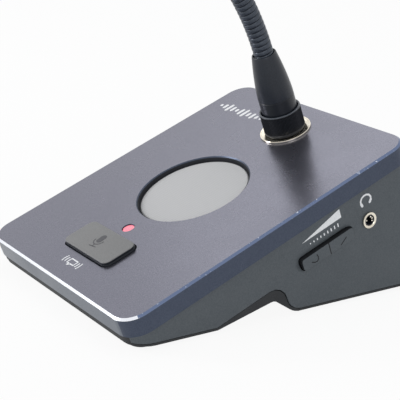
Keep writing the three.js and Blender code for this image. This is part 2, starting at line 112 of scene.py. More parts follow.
def seen_directly(nodes, wire):
    """1 for what the camera, a reflection or a pane of glass shows of the room."""
    path = nodes.new("ShaderNodeLightPath")
    first = nodes.new("ShaderNodeMath")
    second = nodes.new("ShaderNodeMath")
    second.use_clamp = True
    wire(path.outputs["Is Camera Ray"], first.inputs[0])
    wire(path.outputs["Is Glossy Ray"], first.inputs[1])
    wire(first.outputs[0], second.inputs[0])
    wire(path.outputs["Is Transmission Ray"], second.inputs[1])
    return second.outputs[0]


table_white, nodes, wire, shader = new_finish("table_white")
shader.inputs["Base Color"].default_value = (TABLE_SHADE, TABLE_SHADE, TABLE_SHADE, 1)
shader.inputs["Roughness"].default_value = 0.9
plain_white = nodes.new("ShaderNodeEmission")
plain_white.inputs["Color"].default_value = WHITE
glare = nodes.new("ShaderNodeMath")
glare.operation = "MULTIPLY"
glare.inputs[1].default_value = TABLE_GLARE
mixed = nodes.new("ShaderNodeMixShader")
wire(seen_directly(nodes, wire), glare.inputs[0])
wire(glare.outputs[0], mixed.inputs["Fac"])
wire(shader.outputs[0], mixed.inputs[1])
wire(plain_white.outputs[0], mixed.inputs[2])
wire(mixed.outputs[0], nodes["Material Output"].inputs["Surface"])

table = bmesh.new()
bmesh.ops.create_grid(table, x_segments=1, y_segments=1, size=TABLE_HALF)
bmesh.ops.translate(table, vec=(0, 0, -TABLE_DROP), verts=table.verts)
floor_mesh = bpy.data.meshes.new("floor")
table.to_mesh(floor_mesh)
table.free()
floor_mesh.materials.append(table_white)
floor = bpy.data.objects.new("floor", floor_mesh)
bpy.context.scene.collection.objects.link(floor)

room = bpy.data.worlds.new("room")
room.use_nodes = True
bpy.context.scene.world = room
nodes, wire = room.node_tree.nodes, room.node_tree.links.new
room_light = nodes["Background"]
room_light.inputs["Color"].default_value = (0.96, 0.98, 1, 1)
room_light.inputs["Strength"].default_value = ROOM_STRENGTH
room_white = nodes.new("ShaderNodeBackground")
room_white.inputs["Color"].default_value = WHITE
mixed = nodes.new("ShaderNodeMixShader")
wire(seen_directly(nodes, wire), mixed.inputs["Fac"])
wire(room_light.outputs[0], mixed.inputs[1])
wire(room_white.outputs[0], mixed.inputs[2])
wire(mixed.outputs[0], nodes["World Output"].inputs["Surface"])


def lamp(name, place, aim, size, power):
    """A square soft box at place, turned to aim; metres and watts."""
    data = bpy.data.lights.new(name, "AREA")
    data.size, data.energy = size, power
    soft_box = bpy.data.objects.new(name, data)
    soft_box.location = place
    soft_box.rotation_euler = (Vector(aim) - Vector(place)).to_track_quat("-Z", "Y").to_euler()
    bpy.context.scene.collection.objects.link(soft_box)


lamp("front_lamp", (-0.7, -0.8, 0.4), aim=(0, 0, 0.06), size=0.35, power=5)
lamp("back_lamp", (-0.75, 0.33, 0.95), aim=(0, 0.03, 0.04), size=0.5, power=0.5)
lamp("top_lamp", (-0.1, 0.35, 1.2), aim=(0, 0, 0.03), size=0.8, power=2.2)
lamp("right_fill", (1.1, -0.5, 0.5), aim=(0, 0, 0.03), size=0.6, power=1.6)


# ---- Deck plate: a shallow aluminium tray, blasted and anodised blue-grey -------------
# Its edge is cut with a diamond after anodising, which leaves a bright chamfer. The
# skirt all round it slips over the rim of the housing.
MILLIMETRES = Matrix.Scale(0.001, 4)
PLATE_WIDTH, PLATE_LENGTH, PLATE_CORNER = 106.6, 132.9, 8.8
PLATE_THICKNESS, SKIRT_THICKNESS, SKIRT_DEPTH, CHAMFER = 2, 2, 7.8, 0.8
FRONT_LINE = -66
BUTTON_UP, INDICATOR_UP = -44.2, -31.2
SPEAKER_HOLE, INDICATOR_HOLE, NECK_HOLE = 22.7, 2.5, 8
BUTTON_HOLE = (33, 16, 3.5)
STUD_RADIUS, STUD_MIDDLE = 2.2, -4.8
STUD_SPOTS = [(x, y) for x in (-22.5, 22.5) for y in (-53, -32)]
FRONT_CHAMFER, SHADED_SKIRT, SHADED_SIDE_CHAMFER, LIT_FRONT_SKIRT = range(1, 5)
deck = Matrix.Translation(centre) @ Matrix(
    ((1, 0, 0), uphill, normal)
).transposed().to_4x4() @ MILLIMETRES


def grain(nodes, wire, size, detail=2, stretch=(1, 1, 1)):
    """Noise on Object coordinates, its features size millimetres across."""
    place = nodes.new("ShaderNodeTexCoord")
    scale = nodes.new("ShaderNodeMapping")
    scale.inputs["Scale"].default_value = [1000 / size / s for s in stretch]
    made = nodes.new("ShaderNodeTexNoise")
    made.inputs["Scale"].default_value = 1
    made.inputs["Detail"].default_value = detail
    wire(place.outputs["Object"], scale.inputs["Vector"])
    wire(scale.outputs["Vector"], made.inputs["Vector"])
    return made.outputs["Fac"]


def between(nodes, wire, source, low, high, socket, start=0.3, end=0.7):
    """A number that goes from low to high with the noise."""
    made = nodes.new("ShaderNodeMapRange")
    made.inputs["From Min"].default_value = start
    made.inputs["From Max"].default_value = end
    made.inputs["To Min"].default_value = low
    made.inputs["To Max"].default_value = high
    wire(source, made.inputs["Value"])
    wire(made.outputs["Result"], socket)


def shades(nodes, wire, source, dark, light, socket, start=0.3, end=0.7):
    """A colour that goes from dark to light with the noise."""
    made = nodes.new("ShaderNodeValToRGB")
    made.color_ramp.elements[0].position = start
    made.color_ramp.elements[1].position = end
    made.color_ramp.elements[0].color = dark
    made.color_ramp.elements[1].color = light
    wire(source, made.inputs["Fac"])
    wire(made.outputs["Color"], socket)


def relief(nodes, wire, source, depth, shader, strength=1):
    """The noise as small bumps, depth millimetres high."""
    made = nodes.new("ShaderNodeBump")
    made.inputs["Distance"].default_value = depth / 1000
    made.inputs["Strength"].default_value = strength
    wire(source, made.inputs["Height"])
    wire(made.outputs["Normal"], shader.inputs["Normal"])


def anodised(name, dark, light, gloss):
    """Blasted aluminium under a dyed oxide layer: a fine sparkle, a faint cloudiness."""
    material, nodes, wire, shader = new_finish(name)
    shader.inputs["Metallic"].default_value = 0.9
    shader.inputs["Specular IOR Level"].default_value = 0.4
    blast = grain(nodes, wire, 0.45, 3)
    shades(nodes, wire, blast, dark, light, shader.inputs["Base Color"])
    cloud = grain(nodes, wire, 14, 3)
    between(nodes, wire, cloud, gloss, gloss + 0.07, shader.inputs["Roughness"])
    relief(nodes, wire, blast, 0.012, shader, 0.5)
    return material


deck_face = anodised("deck_face", tone(114, 115, 127), tone(130, 130, 142), 0.23)
# A darker copy of the deck's finish for the skirt: painted shade.
shaded_skirt = anodised("shaded_skirt", tone(66, 73, 88), tone(78, 85, 100), 0.36)
# A lighter copy for the skirt's front faces: painted light.
lit_front_skirt = anodised("lit_front_skirt", tone(98, 104, 114), tone(112, 118, 128), 0.3)


def cut_metal(name, low, high, nick_grain, nick_range, brushed, gloss, depth):
    """Bare aluminium as a cutter leaves it, with nicks along the edge."""
    material, nodes, wire, shader = new_finish(name)
    shader.inputs["Metallic"].default_value = 1
    nicks = grain(nodes, wire, *nick_grain)
    shades(nodes, wire, nicks, low, high, shader.inputs["Base Color"], *nick_range)
    between(nodes, wire, grain(nodes, wire, 0.3, 2, brushed), *gloss, shader.inputs["Roughness"])
    relief(nodes, wire, nicks, depth, shader, 0.5)
    return material


cut_edge = cut_metal(
    "cut_edge", tone(176, 184, 204), tone(236, 239, 246), nick_grain=(1.1, 4),
    nick_range=(0.22, 0.3), brushed=(1, 9, 1), gloss=(0.14, 0.26), depth=0.01,
)
# The side and back chamfers take a darker, bluer copy of the cut edge with sparse bright nicks:
# painted shade.
shaded_side_edge = cut_metal(
    "shaded_side_edge", tone(214, 220, 232), tone(104, 117, 146), nick_grain=(1.3, 5),
    nick_range=(0.28, 0.36), brushed=(9, 1, 1), gloss=(0.16, 0.28), depth=0.015,
)


def rounded_sheet(bm, width, length, radius, height=0, at=(0, 0), corner=8):
    """One face with round corners."""
    before = set(bm.faces)
    place = Matrix.Translation((*at, height)) @ Matrix.Diagonal((width, length, 1, 1))
    corners = bmesh.ops.create_grid(bm, x_segments=1, y_segments=1, size=0.5, matrix=place)["verts"]
    bmesh.ops.bevel(
        bm, geom=corners, offset=radius, offset_type="OFFSET", segments=corner,
        profile=0.5, affect="VERTICES", material=-1,
    )
    return (set(bm.faces) - before).pop()


def lifted(bm, faces, travel):
    """The faces pulled out along travel, with walls behind them."""
    made = bmesh.ops.extrude_face_region(bm, geom=list(faces))["geom"]
    moved = [v for v in made if isinstance(v, bmesh.types.BMVert)]
    bmesh.ops.translate(bm, vec=travel, verts=moved)
    return [f for f in made if isinstance(f, bmesh.types.BMFace)]


def rounded_block(width, length, radius, low, high, at=(0, 0), corner=8):
    """A block with round upright corners, as its own bmesh."""
    bm = bmesh.new()
    lifted(bm, [rounded_sheet(bm, width, length, radius, low, at, corner)], (0, 0, high - low))
    bmesh.ops.recalc_face_normals(bm, faces=bm.faces)
    return bm


def dropped(bm, loop, steps):
    """A wall from an edge loop through steps of (scale about its middle, height)."""
    for scale, height in steps:
        made = bmesh.ops.extrude_edge_only(bm, edges=loop)["geom"]
        verts = {v for v in made if isinstance(v, bmesh.types.BMVert)}
        middle = sum((v.co for v in verts), Vector()) / len(verts)
        for v in verts:
            v.co = Vector((
                middle.x + (v.co.x - middle.x) * scale,
                middle.y + (v.co.y - middle.y) * scale,
                height,
            ))
        loop = [e for e in bm.edges if e.verts[0] in verts and e.verts[1] in verts]
    return loop


def piece(name, bm, place, *finishes, crease=32):
    """The bmesh as an object in its place, smooth but for edges sharper than crease."""
    bm.transform(place)
    mesh = bpy.data.meshes.new(name)
    bm.to_mesh(mesh)
    bm.free()
    for finish in finishes:
        mesh.materials.append(finish)
    mesh.shade_smooth()
    mesh.set_sharp_from_angle(angle=math.radians(crease))
    made = bpy.data.objects.new(name, mesh)
    bpy.context.scene.collection.objects.link(made)
    return made


def fitted(made, body, slot, *nodes):
    """Fixes a piece to a body of the frame, in the place of these nodes."""
    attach(made, body)
    if nodes:
        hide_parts(*nodes)
    return made


plate = bmesh.new()
sheet = rounded_sheet(plate, PLATE_WIDTH, PLATE_LENGTH, PLATE_CORNER, -SKIRT_DEPTH, corner=12)
lifted(plate, [sheet], (0, 0, SKIRT_DEPTH - CHAMFER))
bmesh.ops.recalc_face_normals(plate, faces=plate.faces)
# Every face starts with the skirt's darker copy, which is painted shade.
for face in plate.faces:
    face.material_index = SHADED_SKIRT
top = max(plate.faces, key=lambda face: face.calc_center_median().z)
under = min(plate.faces, key=lambda face: face.calc_center_median().z)
ring = bmesh.ops.inset_individual(
    plate, faces=[top], thickness=CHAMFER, depth=CHAMFER, use_even_offset=True
)["faces"]
for face in ring:
    face.material_index = FRONT_CHAMFER
bmesh.ops.inset_individual(plate, faces=[under], thickness=SKIRT_THICKNESS, use_even_offset=True)
ceiling = lifted(plate, [under], (0, 0, SKIRT_DEPTH - PLATE_THICKNESS))[0]
rim, inner_rim = list(top.edges), list(ceiling.edges)
bmesh.ops.delete(plate, geom=[top, ceiling], context="FACES_ONLY")

# Each round hole: its radius at the face, its radius below its bevel, its place.
for radius, reach, upward, count in (
    (23.1, SPEAKER_HOLE, 0, 96),
    (2.6, INDICATOR_HOLE, INDICATOR_UP, 32),
    (8.2, NECK_HOLE, NECK_UP, 48),
):
    hole = bmesh.ops.create_circle(
        plate, radius=radius, segments=count, matrix=Matrix.Translation((0, upward, 0))
    )["verts"]
    loop = list({edge for v in hole for edge in v.link_edges})
    rim += loop
    inner_rim += dropped(plate, loop, ((reach / radius, reach - radius), (1, -PLATE_THICKNESS)))
button_hole = rounded_sheet(plate, *BUTTON_HOLE, at=(0, BUTTON_UP))
loop = list(button_hole.edges)
bmesh.ops.delete(plate, geom=[button_hole], context="FACES_ONLY")
rim += loop
inner_rim += dropped(plate, loop, ((0.994, -0.12), (1, -PLATE_THICKNESS)))
for edges in (rim, inner_rim):
    bmesh.ops.triangle_fill(
        plate, use_beauty=True, use_dissolve=False, edges=edges, normal=(0, 0, 1)
    )
bmesh.ops.recalc_face_normals(plate, faces=plate.faces)
for face in plate.faces:
    middle = face.calc_center_median()
    # Chamfer faces that don't face the front take the darker copy, which is painted shade.
    if face.material_index == FRONT_CHAMFER and face.normal.y > -0.3:
        face.material_index = SHADED_SIDE_CHAMFER
    # The skirt's front faces take the lighter copy, which is painted light.
    if face.material_index == SHADED_SKIRT and face.normal.y < -0.7 and middle.y < FRONT_LINE:
        face.material_index = LIT_FRONT_SKIRT
    # The walls of the speaker and indicator holes take the skirt's darker copy: painted shade.
    shaded_hole_wall = middle.xy.length < 40 and abs(middle.x) < 24
    if shaded_hole_wall and -PLATE_THICKNESS < middle.z < -0.01:
        face.material_index = SHADED_SKIRT

# Studs under the plate carry the control board.
for x, y in STUD_SPOTS:
    bmesh.ops.create_cone(
        plate, cap_ends=True, segments=16, radius1=STUD_RADIUS, radius2=STUD_RADIUS,
        depth=SKIRT_DEPTH - PLATE_THICKNESS, matrix=Matrix.Translation((x, y, STUD_MIDDLE)),
    )
fitted(
    piece("deck_plate", plate, deck, deck_face, cut_edge, shaded_skirt, shaded_side_edge, lit_front_skirt),
    "base", "deck_paint", "top_plate",
)


# ---- Printed marks on the deck: pale screen ink, a few hundredths thick ----------------
# A row of sound bars stands near the back left corner, and a speech bubble between
# sound waves in front of the talk button.
BAR_PITCH, BAR_WIDTH, FIRST_BAR = 2.75, 1.5, -46
BAR_HEIGHTS = (1.6, 3.2, 5.4, 3.6, 2.2, 4.4, 5.6, 3, 4.2, 2.4, 1.4)
FINE_LINE = 0.5
ink_white, nodes, wire, shader = new_finish("ink_white")
speckle = grain(nodes, wire, 0.5, 4)
shades(nodes, wire, speckle, tone(242, 244, 247), tone(252, 253, 254), shader.inputs["Base Color"])
between(nodes, wire, grain(nodes, wire, 2, 2), 0.5, 0.65, shader.inputs["Roughness"])
relief(nodes, wire, grain(nodes, wire, 0.25, 2), 0.01, shader, 0.5)


def bar(bm, x, y, width, length, base=0, thick=0.04):
    """One printed bar with round ends, standing on height base."""
    sheet = rounded_sheet(bm, width, length, min(width, length) * 0.48, base, (x, y), 3)
    lifted(bm, [sheet], (0, 0, thick))


def stroke(bm, points, width, base=0, thick=0.05):
    """A printed line through points. Its lengths overlap, so their tops step a little."""
    for i, ((x0, y0), (x1, y1)) in enumerate(zip(points, points[1:])):
        length, angle = math.hypot(x1 - x0, y1 - y0), math.atan2(y1 - y0, x1 - x0)
        before = set(bm.verts)
        bar(bm, 0, 0, length + width, width, base, thick + 0.008 * (i % 3))
        middle = Matrix.Translation(((x0 + x1) / 2, (y0 + y1) / 2, 0))
        bmesh.ops.transform(
            bm, matrix=middle @ Matrix.Rotation(angle, 4, "Z"),
            verts=[v for v in bm.verts if v not in before],
        )


def arc(x, y, radius, start, end, steps=8):
    """Points along an arc, its angles in degrees."""
    angles = [math.radians(start + (end - start) * i / steps) for i in range(steps + 1)]
    return [(x + radius * math.cos(a), y + radius * math.sin(a)) for a in angles]


def marked(name, marks, place, finish=ink_white, body="base", slot="cloth_grey"):
    """Finished marks, fixed where they belong."""
    bmesh.ops.recalc_face_normals(marks, faces=marks.faces)
    fitted(piece(name, marks, place, finish), body, slot)


sound_bars = bmesh.new()
for i, tall in enumerate(BAR_HEIGHTS):
    bar(sound_bars, FIRST_BAR + i * BAR_PITCH, 48.9 - abs(i - 4) * 0.02, BAR_WIDTH, tall)
marked("sound_bar_print", sound_bars, deck)

bubble = bmesh.new()
stroke(bubble, [
    (-2.3, -58), (-2.3, -55.6), (2.3, -55.6), (2.3, -58), (0.3, -58), (-0.9, -59), (-0.9, -58),
    (-2.3, -58),
], FINE_LINE)
for facing in (0, 180):
    for radius in (3.9, 5.4):
        stroke(bubble, arc(-0.1, -56.9, radius, facing - 17, facing + 17, 4), FINE_LINE)
marked("speech_print", bubble, deck)


# ---- Loudspeaker: a cloth-faced disc in a round opening, the driver behind it ----------
# A rubber ring seals the disc to the plate. A thin black lining on the opening's wall is
# painted shade. Basket, paper cone and magnet are the usual ones of a 50 mm driver.
WEAVE_SCALE = 420


def turned(profile, steps=64, closed=False):
    """A profile of (radius, height) spun round the upright axis."""
    bm = bmesh.new()
    verts = [bm.verts.new((r, 0, z)) for r, z in profile]
    edges = [bm.edges.new(pair) for pair in zip(verts, verts[1:] + (verts[:1] if closed else []))]
    bmesh.ops.spin(
        bm, geom=verts + edges, cent=(0, 0, 0), axis=(0, 0, 1), dvec=(0, 0, 0),
        angle=2 * math.pi, steps=steps, use_merge=True,
    )
    bmesh.ops.remove_doubles(bm, verts=bm.verts, dist=0.0005)
    bmesh.ops.recalc_face_normals(bm, faces=bm.faces)
    return bm


def softened(bm, width, segments=2, angle=35):
    """Every edge sharper than angle rounded off."""
    sharp = [e for e in bm.edges if e.is_manifold and e.calc_face_angle() > math.radians(angle)]
    bmesh.ops.bevel(
        bm, geom=sharp, offset=width, offset_type="OFFSET", segments=segments,
        profile=0.5, affect="EDGES", material=-1, clamp_overlap=True,
    )
    return bm


def moulding(name, dark, light, gloss, size, depth):
    """Moulded plastic or rubber: a spark-eroded texture and a slightly uneven gloss."""
    material, nodes, wire, shader = new_finish(name)
    texture = grain(nodes, wire, size, 3)
    shades(nodes, wire, texture, dark, light, shader.inputs["Base Color"])
    between(nodes, wire, grain(nodes, wire, 9, 3), gloss, gloss + 0.1, shader.inputs["Roughness"])
    shader.inputs["Specular IOR Level"].default_value = 0.4
    relief(nodes, wire, texture, depth, shader, 0.7)
    return material


def dressed(finish, *nodes):
    """Gives CAD nodes their finish."""
    for node in nodes:
        mesh = frame["nodes"][node].data
        mesh.materials.clear()
        mesh.materials.append(finish)


seal_rubber = moulding("seal_rubber", tone(24, 26, 32), tone(36, 39, 46), 0.6, 0.5, 0.02)
seal = softened(turned([
    (21.9, -2.8), (24.8, -2.8), (24.8, -2.35), (22.3, -2.3), (22.3, -1.95), (21.9, -1.95),
], 96, True), 0.08)
fitted(piece("speaker_seal", seal, deck, seal_rubber), "base", "black_rubber", "grille_gasket")
# A thin black lining on the opening's wall: painted shade.
shade_lining = turned([
    (22.35, -2.3), (22.66, -2.3), (22.66, -0.5), (22.58, -0.42), (22.5, -0.5),
], 96, True)
fitted(piece("speaker_shade_lining", shade_lining, deck, seal_rubber), "base", "black_rubber")

speaker_cloth, nodes, wire, shader = new_finish("speaker_cloth")
place = nodes.new("ShaderNodeTexCoord")
threads = []
for direction in ("X", "Y"):
    thread = nodes.new("ShaderNodeTexWave")
    thread.bands_direction = direction
    thread.inputs["Scale"].default_value = WEAVE_SCALE
    thread.inputs["Distortion"].default_value = 0.6
    thread.inputs["Detail"].default_value = 1
    wire(place.outputs["Object"], thread.inputs["Vector"])
    threads.append(thread.outputs["Fac"])
weave = nodes.new("ShaderNodeMath")
weave.operation = "MULTIPLY"
wire(threads[0], weave.inputs[0])
wire(threads[1], weave.inputs[1])
shades(
    nodes, wire, weave.outputs[0], tone(193, 193, 194), tone(206, 206, 207),
    shader.inputs["Base Color"], 0, 0.8,
)
between(nodes, wire, grain(nodes, wire, 3, 2), 0.85, 0.95, shader.inputs["Roughness"])
shader.inputs["Sheen Weight"].default_value = 0.15
relief(nodes, wire, weave.outputs[0], 0.03, shader, 0.5)
disc = turned([
    (0, -3.9), (25, -3.9), (25, -3.1), (21.8, -3.1), (21.8, -2.1), (21.5, -1.8), (15, -1.74),
    (7, -1.7), (0, -1.68),
], 96)
fitted(piece("speaker_disc", disc, deck, speaker_cloth), "base", "cloth_grey", "grille_disc")


def plating(name, dark, light, gloss, size, scratch=0.01):
    """Bright metal with faint handling marks."""
    material, nodes, wire, shader = new_finish(name)
    shader.inputs["Metallic"].default_value = 1
    shades(nodes, wire, grain(nodes, wire, 3 * size, 2), dark, light, shader.inputs["Base Color"])
    marks = grain(nodes, wire, size, 4, (1, 6, 1))
    between(nodes, wire, marks, gloss, gloss + 0.1, shader.inputs["Roughness"])
    relief(nodes, wire, marks, scratch, shader, 0.3)
    return material


zinc_steel = plating("zinc_steel", tone(148, 150, 152), tone(172, 172, 170), 0.32, 0.8)
magnet_ferrite = moulding("magnet_ferrite", tone(52, 52, 55), tone(66, 66, 68), 0.6, 0.9, 0.03)
cone_paper = moulding("cone_paper", tone(30, 30, 31), tone(46, 45, 44), 0.85, 0.6, 0.05)
dressed(zinc_steel, "speaker_frame")
dressed(magnet_ferrite, "speaker_magnet")
dressed(cone_paper, "speaker_cone")


# ---- Talk button: a grey soft-touch cap on a black carrier ------------------------------
# The carrier slides in the plate and rests on the plunger of a push switch. The
# board under the plate holds that switch and the pink indicator.
BUTTON_AT = (0, BUTTON_UP)
CAP_TOP, ICON_LINE = 1.6, 0.48
satin_black = moulding("satin_black", tone(22, 26, 33), tone(32, 36, 44), 0.36, 0.6, 0.01)
soft_touch = moulding("soft_touch", tone(126, 126, 127), tone(138, 138, 138), 0.62, 0.35, 0.02)
carrier = rounded_block(32, 15, 3, -3.2, 0.6, BUTTON_AT)
softened(carrier, 0.18)
flange = rounded_block(35.5, 18.5, 4, -3.6, -2.4, BUTTON_AT)
shelf = bpy.data.meshes.new("shelf")
flange.to_mesh(shelf)
flange.free()
carrier.from_mesh(shelf)
fitted(
    piece("talk_carrier", carrier, deck, satin_black),
    "talk_button", "black_plastic", "talk_button_carrier",
)


def key_top(key, upper, ease, facing):
    """Rounds the edges above height upper; all but the top takes the second finish."""
    edges = [e for e in key.edges if all(v.co.z > upper for v in e.verts)]
    bmesh.ops.bevel(
        key, geom=edges, offset=ease, offset_type="OFFSET", segments=3, profile=0.5,
        affect="EDGES", material=-1,
    )
    key.normal_update()
    for face in key.faces:
        face.material_index = 0 if face.normal.z > facing else 1


cap = rounded_block(31.6, 14.6, 2.8, 0.75, CAP_TOP, BUTTON_AT, 10)
key_top(cap, CAP_TOP - 0.1, 0.28, 0.25)
fitted(
    piece("talk_cap", cap, deck, soft_touch, satin_black),
    "talk_button", "key_grey", "talk_button_cap",
)

icon_grey = moulding("icon_grey", tone(78, 78, 82), tone(96, 96, 100), 0.6, 0.4, 0.01)
icon = bmesh.new()
inked = {"base": CAP_TOP - 0.005, "thick": 0.045}
bar(icon, 0, 1.5, 2.8, 4.7, **inked)
for line in (arc(0, 0.4, 2.4, 180, 360, 8), [(0, -2), (0, -3.3)], [(-1.8, -3.3), (1.8, -3.3)]):
    stroke(icon, line, ICON_LINE, **inked)
tilted = deck @ Matrix.Translation((-0.3, -44.1, 0)) @ Matrix.Rotation(math.radians(8), 4, "Z")
marked("talk_icon", icon, tilted, icon_grey, "talk_button", "black_plastic")

dressed(soft_touch, "talk_switch_plunger")
dressed(satin_black, "talk_switch")

circuit_green, nodes, wire, shader = new_finish("circuit_green")
place = nodes.new("ShaderNodeTexCoord")
tracks = nodes.new("ShaderNodeTexBrick")
tracks.inputs["Scale"].default_value = 160
tracks.inputs["Mortar Size"].default_value = 0.03
tracks.inputs["Color1"].default_value = tone(28, 84, 52)
tracks.inputs["Color2"].default_value = tone(33, 94, 58)
tracks.inputs["Mortar"].default_value = tone(44, 118, 74)
wire(place.outputs["Object"], tracks.inputs["Vector"])
wire(tracks.outputs["Color"], shader.inputs["Base Color"])
between(nodes, wire, grain(nodes, wire, 4, 2), 0.35, 0.5, shader.inputs["Roughness"])
relief(nodes, wire, tracks.outputs["Fac"], 0.03, shader)
dressed(circuit_green, "control_board", "side_board", "main_board")

lens_pink, nodes, wire, shader = new_finish("lens_pink")
milk = grain(nodes, wire, 1.2, 2)
shades(nodes, wire, milk, tone(244, 144, 160), tone(252, 160, 175), shader.inputs["Base Color"])
between(nodes, wire, grain(nodes, wire, 0.6, 2), 0.3, 0.42, shader.inputs["Roughness"])
shader.inputs["Subsurface Weight"].default_value = 0.25
shader.inputs["Subsurface Scale"].default_value = 0.001
shader.inputs["Emission Color"].default_value = tone(250, 110, 130)
shader.inputs["Emission Strength"].default_value = 0.3
lens = turned([
    (0, -7.7), (2.6, -7.7), (2.6, -6.7), (2.43, -6.6), (2.43, -0.55), (2.36, -0.42), (2.1, -0.36),
    (1.75, -0.4), (1.6, -0.36), (0.8, -0.3), (0, -0.28),
], 40)
indicator = deck @ Matrix.Translation((0, INDICATOR_UP, 0))
fitted(piece("indicator_lens", lens, indicator, lens_pink), "base", "led_pink", "status_led")


# ---- Housing: grey textured plastic walls, four screw bosses inside ---------------------
# One moulding, its walls square to the deck. The right wall has a hole for the
# headphone socket and one for the volume key, with a valley sloping down to it. The
# low front wall takes the dark cover finish as painted shade, for the shade under the skirt.
SHADED_FRONT_REACH = 0.004
shell_grey = moulding("shell_grey", tone(79, 85, 90), tone(93, 99, 104), 0.56, 0.42, 0.03)
cover_grey = moulding("cover_grey", tone(36, 38, 41), tone(50, 52, 55), 0.6, 0.5, 0.03)


def eased(node, name, finish, width, body, slot):
    """A copy of a CAD moulding with its edges eased."""
    bm = bmesh.new()
    bm.from_mesh(frame["nodes"][node].data)
    bmesh.ops.remove_doubles(bm, verts=bm.verts, dist=0.000002)
    bmesh.ops.dissolve_limit(
        bm, angle_limit=math.radians(0.5), use_dissolve_boundaries=False,
        verts=bm.verts, edges=bm.edges, delimit=set(),
    )
    made = piece(name, bm, Matrix.Identity(4), finish)
    ease = made.modifiers.new("ease", "BEVEL")
    ease.width = width / 1000
    ease.segments = 2
    ease.limit_method = "ANGLE"
    ease.angle_limit = math.radians(38)
    ease.harden_normals = True
    ease.use_clamp_overlap = True
    return fitted(made, body, slot, node)


shell = eased("housing", "housing_shell", shell_grey, 0.25, "base", "shell_plastic")
# The housing's front faces take the dark cover finish: painted shade.
shell.data.materials.append(cover_grey)
front = min(v.co.y for v in shell.data.vertices)
for wall in shell.data.polygons:
    if wall.normal.y < -0.8 and wall.center.y < front + SHADED_FRONT_REACH:
        wall.material_index = 1


# ---- Bottom cover, screws and feet --------------------------------------------------------
# The cover closes the housing from below, arched where a cable passes under the
# console. Cross-head screws hold it; rubber feet sit in round recesses.
eased("bottom_cover", "cover_shell", cover_grey, 0.15, "base", "cover_plastic")
dressed(zinc_steel, "cover_screw_1", "cover_screw_2", "cover_screw_3", "cover_screw_4")

foot_rubber = moulding("foot_rubber", tone(24, 24, 26), tone(36, 36, 38), 0.8, 0.4, 0.03)
for count in range(1, 5):
    low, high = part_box(f"foot_{count}")
    spot = Matrix.Translation(((low.x + high.x) / 2, (low.y + high.y) / 2, 0)) @ MILLIMETRES
    foot = turned([
        (0, 0.15), (2.9, 0.15), (3.1, 0), (3.8, 0), (4.15, 0.15), (4.3, 0.5), (4.3, 1.8), (0, 1.8),
    ], 40)
    fitted(
        piece(f"rubber_foot_{count}", foot, spot, foot_rubber),
        "base", "black_rubber", f"foot_{count}",
    )


# ---- Volume key: one rocking key with grey faces and black sides, in the right wall -------
# A steel pin carries it, and two small switches behind it push it back. Marks for
# less and more are moulded in; a printed wedge above it shows which end is louder.
KEY_AT, KEY_FACE, KEY_LINE = (18.6, -21.4), 53.25, 0.42
WALL_FACE, PRINT = 52.29, 0.05
side = deck @ Matrix(((0, 0, 1, 0), (1, 0, 0, 0), (0, 1, 0, 0), (0, 0, 0, 1)))
key_side = moulding("key_side", tone(20, 22, 26), tone(30, 32, 36), 0.55, 0.5, 0.02)
painted_groove_shade = moulding("painted_groove_shade", tone(22, 24, 28), tone(32, 34, 38), 0.7, 0.4, 0.01)
key = rounded_block(25, 4.8, 1.1, 50.2, KEY_FACE, KEY_AT)
key_top(key, KEY_FACE - 0.25, 0.22, 0.3)
hub = bmesh.ops.create_cube(
    key, size=1,
    matrix=Matrix.Translation((*KEY_AT, 48.85)) @ Matrix.Diagonal((4.4, 4.8, 3.1, 1)),
)
for face in {f for v in hub["verts"] for f in v.link_faces}:
    face.material_index = 1
fitted(
    piece("rocker_key", key, side, shell_grey, key_side),
    "volume_key", "shell_plastic", "volume_key",
)

# The moulded-in marks are dark strokes on the key's face: painted shade for their grooves.
key_marks = bmesh.new()
for line in (
    [(19.15, -19.05), (19.1, -23.65)],
    [(13.0, -20.35), (13.3, -21.4), (13.2, -22.3), (12.4, -22.9), (11.3, -22.7), (10.1, -22.0)],
    [(27.3, -21.2), (24.3, -22.85)],
):
    stroke(key_marks, line, KEY_LINE, KEY_FACE - 0.01, 0.03)
marked("rocker_marks", key_marks, side, painted_groove_shade, "volume_key", "black_plastic")
dressed(zinc_steel, "volume_key_pin")
dressed(satin_black, "volume_down_switch", "volume_up_switch")

wedge = bmesh.new()
ends = [
    wedge.verts.new((*point, WALL_FACE)) for point in ((8.8, -13.15), (28.1, -13.05), (28.1, -9.4))
]
lifted(wedge, [wedge.faces.new(ends)], (0, 0, PRINT))
for i in range(9):
    bar(wedge, 12.2 + i * 1.7, -15.2, 0.5, 0.6 + i * 0.13, WALL_FACE, PRINT)
marked("volume_print", wedge, side)


# ---- Headphone socket: black body, nickel nut, spring contacts in its bore ----------------
# The nut stands a little proud of the wall. A printed arch above it stands for a
# pair of headphones.
JACK_AT = (39.6, -21.1)
BAND_LINE, CUSHION_LINE = 0.72, 1.05
nickel_plate = plating("nickel_plate", tone(214, 206, 190), tone(232, 226, 212), 0.12, 1.2)
dressed(satin_black, "headphone_jack")
jack = side @ Matrix.Translation((*JACK_AT, 0))
nut = turned([
    (2.5, 52.55), (3.15, 52.55), (3.2, 52.9), (3.12, 53.12), (2.9, 53.2), (2.4, 53.17),
    (2.2, 53.0), (2.5, 52.92),
], 48, True)
fitted(piece("socket_ring", nut, jack, nickel_plate), "base", "nickel", "jack_nut")
contacts = bmesh.new()
spring = Matrix.Translation((1.4, 0, 52.2)) @ Matrix.Diagonal((0.6, 0.6, 1.2, 1))
for angle in (-35, 5, 45, 160):
    place = Matrix.Rotation(math.radians(angle), 4, "Z") @ spring
    bmesh.ops.create_cube(contacts, size=1, matrix=place)
softened(contacts, 0.08, 1)
fitted(piece("socket_contacts", contacts, jack, nickel_plate), "base", "nickel")

